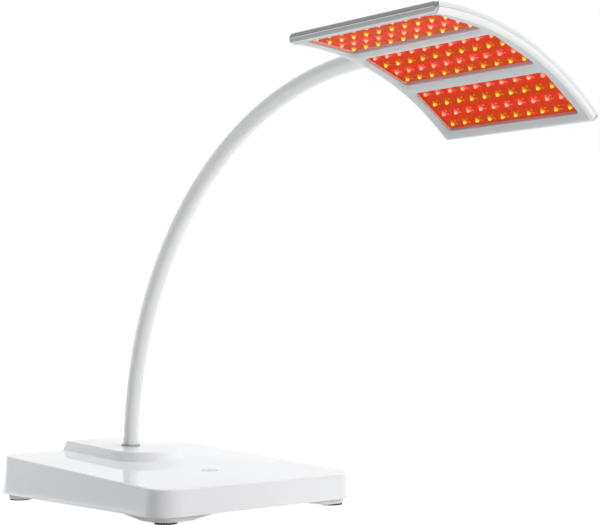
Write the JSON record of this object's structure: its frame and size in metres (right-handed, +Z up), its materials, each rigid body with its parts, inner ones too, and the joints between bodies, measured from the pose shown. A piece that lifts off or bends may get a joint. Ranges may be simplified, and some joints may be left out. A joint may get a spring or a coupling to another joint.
{
  "type": "red light therapy lamp",
  "caption": "Table-top light therapy lamp: a weighted wedge base with a push button, a bending gooseneck arm and an arched head that swivels, with three windows of LEDs.",
  "frame": {"origin": "on the ground under the centre of the base's outline", "axes": "+Z up; the front of the lamp, where the head reaches out, faces -Y; +X is to the right seen from the front"},
  "size_m": [0.26, 0.6894, 0.4594],
  "materials": {
    "gloss_white": "high gloss white moulding",
    "tray_white": "fine satin moulding",
    "pad_rubber": "dull dark rubber",
    "zinc_steel": "zinc plated",
    "ballast_steel": "mill finish",
    "socket_alloy": "die cast",
    "sleeve_silicone": "satin light grey silicone",
    "coil_steel": "wound bright wire",
    "lead_jacket": "satin cable jacket",
    "board_green": "solder mask",
    "component_black": "moulded black",
    "button_white": "satin cap",
    "spindle_steel": "turned bright",
    "ring_acetal": "natural acetal",
    "frame_grey": "semi gloss light grey moulding",
    "trim_silver": "satin anodised",
    "lens_clear": "clear polished sheet",
    "board_red": "coated aluminium core board",
    "led_red": "lit red emitter",
    "led_amber": "lit amber emitter"
  },
  "bodies": {
    "base": {"base_top_cover": "gloss_white", "base_bottom_tray": "tray_white", "rubber_feet": "pad_rubber", "tray_screws": "zinc_steel", "ballast_plate": "ballast_steel", "ballast_screws": "zinc_steel", "arm_socket": "socket_alloy", "socket_screws": "zinc_steel", "clamp_screws": "zinc_steel", "arm_collar": "gloss_white", "control_board": "board_green", "board_screws": "zinc_steel", "board_components": "component_black", "tactile_switch": "component_black", "power_inlet": "component_black", "inlet_pin": "zinc_steel", "inlet_nut": "zinc_steel", "arm_sleeve_foot": "sleeve_silicone", "gooseneck_core_foot": "coil_steel", "arm_lead_foot": "lead_jacket", "base_lead": "lead_jacket", "inlet_lead": "lead_jacket"},
    "button": {"power_button": "button_white"},
    "arm_lower": {"arm_sleeve_lower": "sleeve_silicone", "gooseneck_core_lower": "coil_steel", "arm_lead_lower": "lead_jacket"},
    "arm_middle": {"arm_sleeve_middle": "sleeve_silicone", "gooseneck_core_middle": "coil_steel", "arm_lead_middle": "lead_jacket"},
    "arm_upper": {"arm_sleeve_upper": "sleeve_silicone", "gooseneck_core_upper": "coil_steel", "arm_lead_upper": "lead_jacket", "swivel_spindle": "spindle_steel", "friction_rings": "ring_acetal", "swivel_nut": "zinc_steel"},
    "head": {"amber_leds": "led_amber", "block_screws": "zinc_steel", "end_trim_left": "trim_silver", "end_trim_right": "trim_silver", "head_front_frame": "frame_grey", "head_lead": "lead_jacket", "head_rear_shell": "gloss_white", "head_screws": "zinc_steel", "led_board_centre": "board_red", "led_board_left": "board_red", "led_board_right": "board_red", "red_leds": "led_red", "swivel_block": "socket_alloy", "swivel_hood": "gloss_white", "window_lens_centre": "lens_clear", "window_lens_left": "lens_clear", "window_lens_right": "lens_clear"}
  },
  "joints": [
    {"name": "power_button_press", "type": "slide", "parent": "base", "child": "button", "axis": [0, 0.0494, -0.9988], "range_m": [0, 0.0008], "stiffness_N_per_m": 4000},
    {"name": "lower_bend", "type": "hinge", "parent": "base", "child": "arm_lower", "pos_m": [0, 0.07481, 0.10768], "axis": [1, 0, 0], "range_deg": [-15, 10]},
    {"name": "middle_bend", "type": "hinge", "parent": "arm_lower", "child": "arm_middle", "pos_m": [0, -0.00539, 0.2878], "axis": [1, 0, 0], "range_deg": [-20, 15]},
    {"name": "upper_bend", "type": "hinge", "parent": "arm_middle", "child": "arm_upper", "pos_m": [0, -0.16076, 0.40919], "axis": [1, 0, 0], "range_deg": [-20, 15]},
    {"name": "head_swivel", "type": "hinge", "parent": "arm_upper", "child": "head", "pos_m": [0, -0.434, 0.44442], "axis": [0, 1, 0], "range_deg": [-65, 25]}
  ]
}
